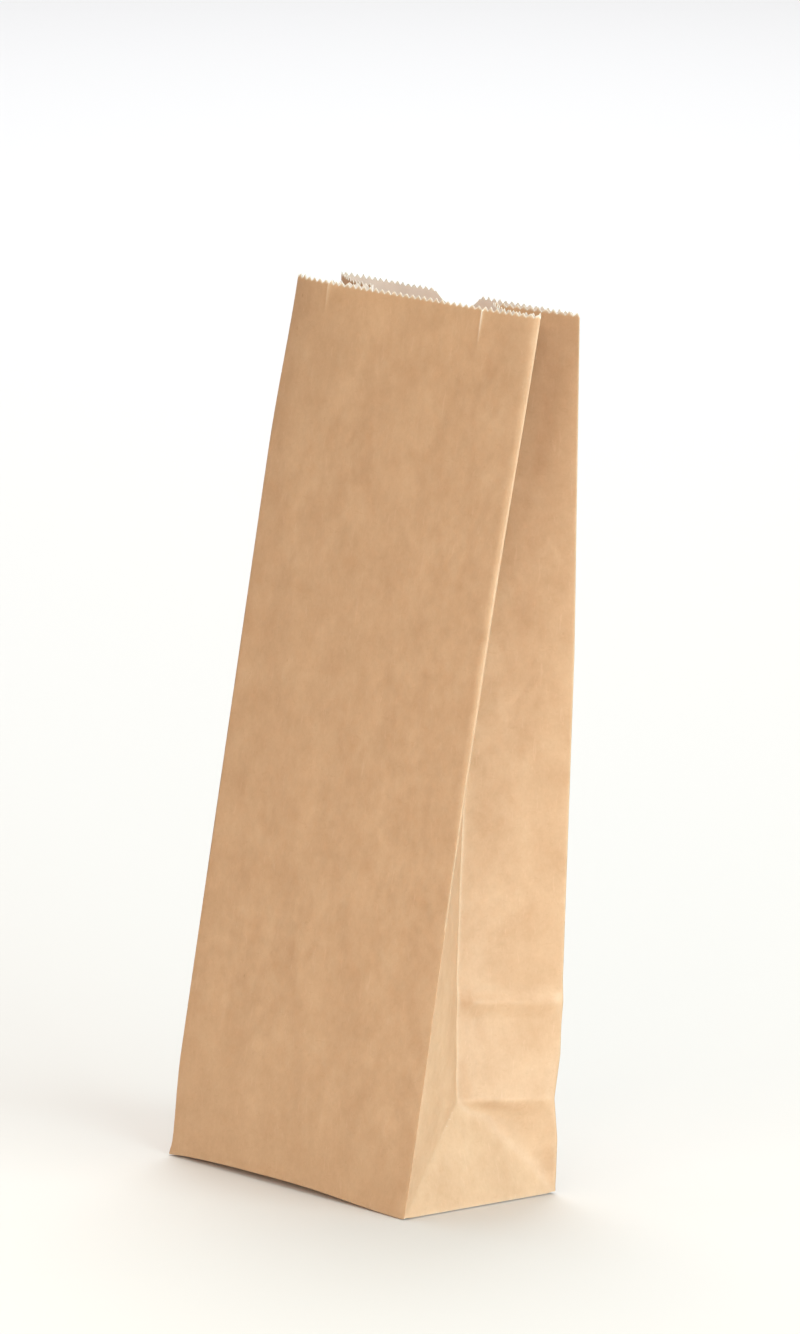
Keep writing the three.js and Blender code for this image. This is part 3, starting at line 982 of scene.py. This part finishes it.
brownPaper = {
    "tan": (0.49, 0.41, 0.27),
    "contrast": 0.165,  # how far the clouding goes to either side of the tan
    "toneSpan": (0.36, 0.64),
    # the clouding: scale and stretch of each layer, and its share
    "clouds": {"scale": 85, "detail": 3, "roughness": 0.6, "stretch": (1, 0.9, 1), "share": 0.42},
    "mottle": {"scale": 330, "detail": 3, "roughness": 0.65, "stretch": (1, 0.8, 1), "share": 0.33},
    "grain": {"scale": 1500, "detail": 2, "roughness": 0.6, "stretch": (1, 0.6, 1), "share": 0.21},
    "streaks": {"scale": 190, "detail": 2, "roughness": 0.5, "stretch": (1, 0.12, 1), "share": 0.04},
    # long pale fibres and short dark ones
    "longFibre": {"scale": 1050, "detail": 1, "roughness": 0.4, "distortion": 1.2, "stretch": (1, 0.16, 1)},
    "shortFibre": {"scale": 900, "detail": 1, "roughness": 0.4, "distortion": 1.6, "stretch": (0.35, 0.8, 1),
                   "shift": (0.11, 0.07, 0)},
    "paleSpan": (0.66, 0.74),
    "darkSpan": (0.27, 0.33),
    "fibreStrength": 0.22,
    "fibreDark": -0.4,
    "fleck": (0.72, 0.62, 0.46, 1),
    # bark specks: few cells of a scatter hold one
    "speck": (0.14, 0.09, 0.05, 1),
    "speckScale": 150.0,
    "speckStretch": (1, 0.62, 1),
    "speckFew": (0.86, 0.90),
    "speckSize": (0.03, 0.07),
    "speckStrength": 0.5,
    # colour of rubbed folds, also used as painted highlight on the upper front ridges and above the press
    # crease
    "wornAndHighlit": (0.80, 0.70, 0.52, 1),
    "wornAndHighlitStrength": 0.3,
    "wornAndHighlitSpan": ((0.35, 0.25), (0.6, 1.0)),
    "wearAndHighlightPatches": {"scale": 420, "detail": 3, "roughness": 0.7, "stretch": (1, 1, 1)},
    "seamShade": (1.0, 0.905, 0.875, 1),  # painted shade: the seam is painted darker and warmer for the light its two plies keep back
    "inside": (1.0, 0.985, 0.96, 1),
    "insideStrength": 0.9,
    "faceShift": 0.37,  # the two faces of the sheet have different fibres
    "cut": (0.95, 0.92, 0.84, 1),
    "paleFibreAndLightPower": 2.2,
    "relief": (("mottle", 0.8), ("grain", 0.45), ("longFibre", 0.5)),
    "bumpDepth": 0.00004,
    "bumpStrength": 0.5,
    "roughness": 0.49,
    "roughnessMottle": 0.12,
    "specular": 0.5,
    "thinness": 0.42,  # share of the light that goes on into the sheet, from outside
    "innerThinness": 0.22,  # and from inside
    "glow": (1.0, 0.55, 0.28, 1),
    "innerGlow": (1.0, 0.85, 0.70, 1),
}


def toned(colour, amount):
    # paler paper is also a little greyer, darker paper a little browner
    return tuple(c * (1 + amount * lean) for c, lean in zip(colour, (0.9, 1.0, 1.15))) + (1,)


def weighted(maker, layers, parts):
    # the sum of some layers, each times its share
    total = None
    for name, share in parts:
        part = maker.math("MULTIPLY", layers[name], share)
        total = part if total is None else maker.math("ADD", total, part)
    return total


def paperTone(maker, layers, sheet):
    parts = [(name, brownPaper[name]["share"]) for name in ("clouds", "mottle", "grain", "streaks")]
    low, high = brownPaper["toneSpan"]
    tone = maker.ramp(weighted(maker, layers, parts), [(low, 0.0), (high, 1.0)])
    colour = maker.mixColour(tone, toned(brownPaper["tan"], -brownPaper["contrast"]),
                             toned(brownPaper["tan"], brownPaper["contrast"]))
    low, high = brownPaper["paleSpan"]
    pale = maker.ramp(layers["longFibre"], [(low, 0.0), (high, 1.0)])
    pale = maker.math("MULTIPLY", pale, brownPaper["fibreStrength"])
    colour = maker.mixColour(pale, colour, brownPaper["fleck"])
    low, high = brownPaper["darkSpan"]
    dark = maker.ramp(layers["shortFibre"], [(low, 1.0), (high, 0.0)])
    dark = maker.math("MULTIPLY", dark, brownPaper["fibreStrength"])
    colour = maker.mixColour(dark, colour, toned(brownPaper["tan"], brownPaper["fibreDark"]))
    return maker.mixColour(barkSpecks(maker, sheet), colour, brownPaper["speck"])


def barkSpecks(maker, sheet):
    scattered = maker.scaled(sheet, brownPaper["speckStretch"])
    cells = maker.node("ShaderNodeTexVoronoi", {
        "Vector": scattered, "Scale": brownPaper["speckScale"], "Randomness": 1.0})
    chosen = maker.node("ShaderNodeSeparateColor", {"Color": cells.outputs["Color"]}).outputs["Red"]
    low, high = brownPaper["speckFew"]
    few = maker.ramp(chosen, [(low, 0.0), (high, 1.0)])
    low, high = brownPaper["speckSize"]
    small = maker.ramp(cells.outputs["Distance"], [(low, 1.0), (high, 0.0)])
    return maker.math("MULTIPLY", maker.math("MULTIPLY", few, small), brownPaper["speckStrength"])


def makeBrownPaper():
    maker = NodeMaker("brownPaper")
    place = maker.attribute("paper").outputs["Vector"]
    parts = maker.node("ShaderNodeSeparateXYZ", {"Vector": place})
    flat = maker.node("ShaderNodeCombineXYZ", {"X": parts.outputs["X"], "Y": parts.outputs["Y"]})
    wearAndHighlight = parts.outputs["Z"]
    inner = maker.attribute("inner").outputs["Fac"]
    doubled = maker.attribute("doubled").outputs["Fac"]
    paleFibreAndLight = maker.math("POWER", maker.attribute("paleFibreAndLight").outputs["Fac"], brownPaper["paleFibreAndLightPower"])
    pale = maker.math("MAXIMUM", maker.attribute("cutEdge").outputs["Fac"], paleFibreAndLight)
    shift = maker.math("MULTIPLY", inner, brownPaper["faceShift"])
    faceShift = maker.node("ShaderNodeCombineXYZ", {"Z": shift})
    sheet = maker.node("ShaderNodeVectorMath", {0: flat.outputs["Vector"], 1: faceShift.outputs["Vector"]},
                       operation="ADD").outputs["Vector"]
    names = ("clouds", "mottle", "grain", "streaks", "longFibre", "shortFibre", "wearAndHighlightPatches")
    layers = {name: maker.noise(sheet, brownPaper[name]) for name in names}

    # rubbed folds with painted highlight on the upper front ridges and above the press crease, the seam's
    # painted shade, the paler inside, and the white of the cut edges, which along the pinked edge and the
    # slit lips is also painted light
    colour = paperTone(maker, layers, sheet)
    wornAndHighlit = maker.math("MULTIPLY", wearAndHighlight, maker.ramp(layers["wearAndHighlightPatches"], brownPaper["wornAndHighlitSpan"]))
    wornAndHighlit = maker.math("MULTIPLY", wornAndHighlit, brownPaper["wornAndHighlitStrength"])
    colour = maker.mixColour(wornAndHighlit, colour, brownPaper["wornAndHighlit"])
    # painted shade on the seam, where the two plies let less light through
    colour = maker.mixColour(doubled, colour, brownPaper["seamShade"], "MULTIPLY")
    inside = maker.math("MULTIPLY", inner, brownPaper["insideStrength"])
    colour = maker.mixColour(inside, colour, brownPaper["inside"])
    # cut edges are white; along the pinked edge and the slit lips this white is also painted light
    colour = maker.mixColour(pale, colour, brownPaper["cut"])

    # the relief of the fibres, pressed flat a little
    relief = weighted(maker, layers, brownPaper["relief"])
    bump = maker.node("ShaderNodeBump", {"Strength": brownPaper["bumpStrength"],
                                         "Distance": brownPaper["bumpDepth"], "Height": relief})
    rough = maker.math("MULTIPLY", layers["mottle"], brownPaper["roughnessMottle"])
    rough = maker.math("ADD", rough, brownPaper["roughness"])
    shader = maker.node("ShaderNodeBsdfPrincipled", {
        "Base Color": colour, "Roughness": rough, "Normal": bump.outputs["Normal"],
        "Specular IOR Level": brownPaper["specular"]})

    # the sheet is thin enough for some light to come through
    glow = maker.mixColour(inner, brownPaper["glow"], brownPaper["innerGlow"])
    glow = maker.mixColour(pale, glow, brownPaper["cut"])
    through = maker.node("ShaderNodeBsdfTranslucent", {"Color": glow})
    thinner = maker.math("MULTIPLY", inner, brownPaper["innerThinness"] - brownPaper["thinness"])
    share = maker.math("ADD", thinner, brownPaper["thinness"])
    both = maker.node("ShaderNodeMixShader", {
        "Fac": share, 1: shader.outputs["BSDF"], 2: through.outputs["BSDF"]})
    return maker.finish(both.outputs["Shader"])


foldedSheet.data.materials.append(makeBrownPaper())
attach(foldedSheet, "root")
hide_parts("paper_bag")
print("paper finished")


studio = {
    "floorSize": 14.0,
    "floorRoughness": 0.9,
    "floorSpecular": 0.1,
    "floor": (0.71, 0.665, 0.63, 1),
    "world": (1.0, 0.9, 0.8, 1),
    "worldStrength": 0.3,
}

# soft lights: a low one from the right, one overhead, one over the floor behind,
# and three weak ones in front
lights = {
    "keyLight": {"place": (2.4, 0.1, 0.55), "aim": (0, 0, 0.15), "size": (2.4, 1.0), "power": 103.0,
                 "tint": (0.735, 0.935, 1.0)},
    "topLight": {"place": (-0.5, 0.45, 2.4), "aim": (-0.1, 0.1, 0), "size": (1.5, 1.5), "power": 42.0,
                 "tint": (0.91, 0.99, 1.0)},
    "backLight": {"place": (-2.2, 1.9, 2.0), "aim": (-1.9, 1.65, 0), "size": (2.2, 2.2), "power": 63.0,
                  "tint": (0.794, 0.89, 1.0)},
    "frontLight": {"place": (0.7, -1.9, 1.4), "aim": (0, 0, 0.15), "size": (1.8, 1.2), "power": 7.0,
                   "tint": (1.0, 0.93, 0.8)},
    "fillLight": {"place": (1.7, -1.5, 0.8), "aim": (0, 0, 0.2), "size": (1.0, 1.0), "power": 12.5,
                  "tint": (1.0, 0.74, 0.58)},
    "lowLight": {"place": (0.1, -0.6, 0.08), "aim": (0, 0, 0.08), "size": (0.5, 0.12), "power": 1.3,
                 "tint": (0.98, 0.99, 0.83)},
}


def makeFloor():
    half = studio["floorSize"] / 2
    corners = [(-half, -half, 0), (half, -half, 0), (half, half, 0), (-half, half, 0)]
    mesh = bpy.data.meshes.new("studioFloor")
    mesh.from_pydata(corners, [], [(0, 1, 2, 3)])
    maker = NodeMaker("paleFloor")
    shader = maker.node("ShaderNodeBsdfPrincipled", {
        "Base Color": studio["floor"], "Roughness": studio["floorRoughness"],
        "Specular IOR Level": studio["floorSpecular"]})
    mesh.materials.append(maker.finish(shader.outputs["BSDF"]))
    floor = bpy.data.objects.new("studioFloor", mesh)
    bpy.context.scene.collection.objects.link(floor)


def makeWorld():
    world = bpy.data.worlds.new("studioWorld")
    bpy.context.scene.world = world
    world.use_nodes = True
    background = world.node_tree.nodes["Background"]
    background.inputs["Color"].default_value = studio["world"]
    background.inputs["Strength"].default_value = studio["worldStrength"]


def makeLight(name):
    light = lights[name]
    data = bpy.data.lights.new(name, "AREA")
    data.shape = "RECTANGLE"
    data.size, data.size_y = light["size"]
    data.energy = light["power"]
    data.color = light["tint"]
    lamp = bpy.data.objects.new(name, data)
    bpy.context.scene.collection.objects.link(lamp)
    lamp.location = light["place"]
    towards = Vector(light["aim"]) - Vector(light["place"])
    lamp.rotation_euler = towards.to_track_quat("-Z", "Y").to_euler()
    lamp.visible_camera = False


makeFloor()
makeWorld()
for name in lights:
    makeLight(name)

# angles in degrees, distances in mm from the middle of the base
cameraView = {
    "azimuth": 49.62,
    "elevation": 10.113,
    "roll": 0.725,
    "distance": 3541.75,
    "targetSide": 10.53,
    "targetHeight": 170.25,
    "lens": 292.18,
    "sensor": 36.0,
    "near": 0.05,  # in metres, as is far
    "far": 60.0,
}


def makeCamera():
    azimuth = math.radians(cameraView["azimuth"])
    elevation = math.radians(cameraView["elevation"])
    roll = math.radians(cameraView["roll"])
    level = math.cos(elevation)
    back = Vector((math.sin(azimuth) * level, -math.cos(azimuth) * level, math.sin(elevation)))
    right = Vector((math.cos(azimuth), math.sin(azimuth), 0))
    up = back.cross(right)
    axisX = right * math.cos(roll) + up * math.sin(roll)
    axisY = up * math.cos(roll) - right * math.sin(roll)
    target = (right * cameraView["targetSide"] + Vector((0, 0, cameraView["targetHeight"]))) * mm
    place = target + back * cameraView["distance"] * mm
    turned = Matrix((axisX, axisY, back)).transposed().to_4x4()
    data = bpy.data.cameras.new("studioCamera")
    data.lens = cameraView["lens"]
    data.sensor_width = cameraView["sensor"]
    data.sensor_fit = "AUTO"
    data.clip_start = cameraView["near"]
    data.clip_end = cameraView["far"]
    camera = bpy.data.objects.new("studioCamera", data)
    bpy.context.scene.collection.objects.link(camera)
    camera.matrix_world = Matrix.Translation(place) @ turned
    bpy.context.scene.camera = camera


makeCamera()
bpy.context.scene.view_settings.view_transform = "Standard"
bpy.context.scene.view_settings.look = "None"
print("studio ready")

bpy.context.view_layer.update()
